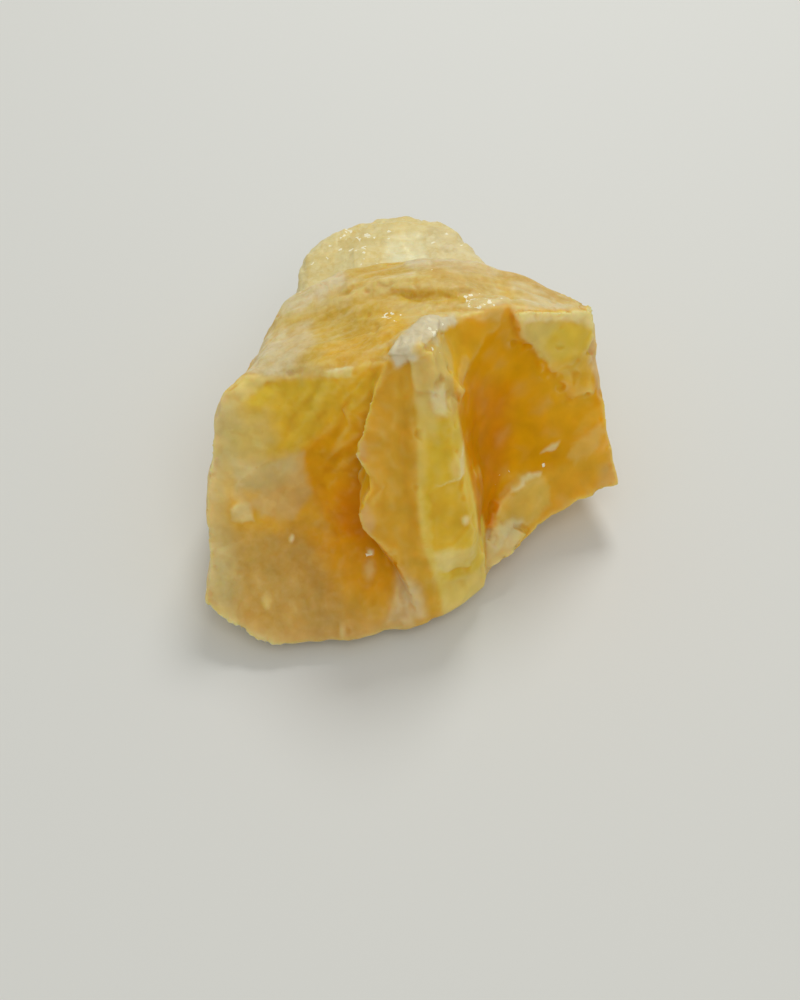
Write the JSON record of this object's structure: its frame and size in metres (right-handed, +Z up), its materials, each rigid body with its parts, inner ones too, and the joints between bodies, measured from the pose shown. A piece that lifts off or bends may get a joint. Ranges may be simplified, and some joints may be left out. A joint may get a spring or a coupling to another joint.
{
  "type": "raw calcite",
  "caption": "Rough broken lump of orange calcite with a hollow left face, an upright blade and pillar, a stepped top and a pale sugary lobe behind",
  "frame": {"origin": "Centre of the bounding box in plan, at the level of the surface that the lump stands on", "axes": "+Z up; -Y to the front, where the hollow face and the pillar are; +X to the right seen from the front; longest along Y"},
  "size_m": [0.0564, 0.062, 0.036],
  "materials": {
    "calcite": "Broken calcite, waxy to glassy, orange with yellow and whitish zones, translucent at thin edges, pale sugary lobe and white crust at the peak"
  },
  "bodies": {
    "root": {"calcite": "calcite"}
  },
  "joints": []
}
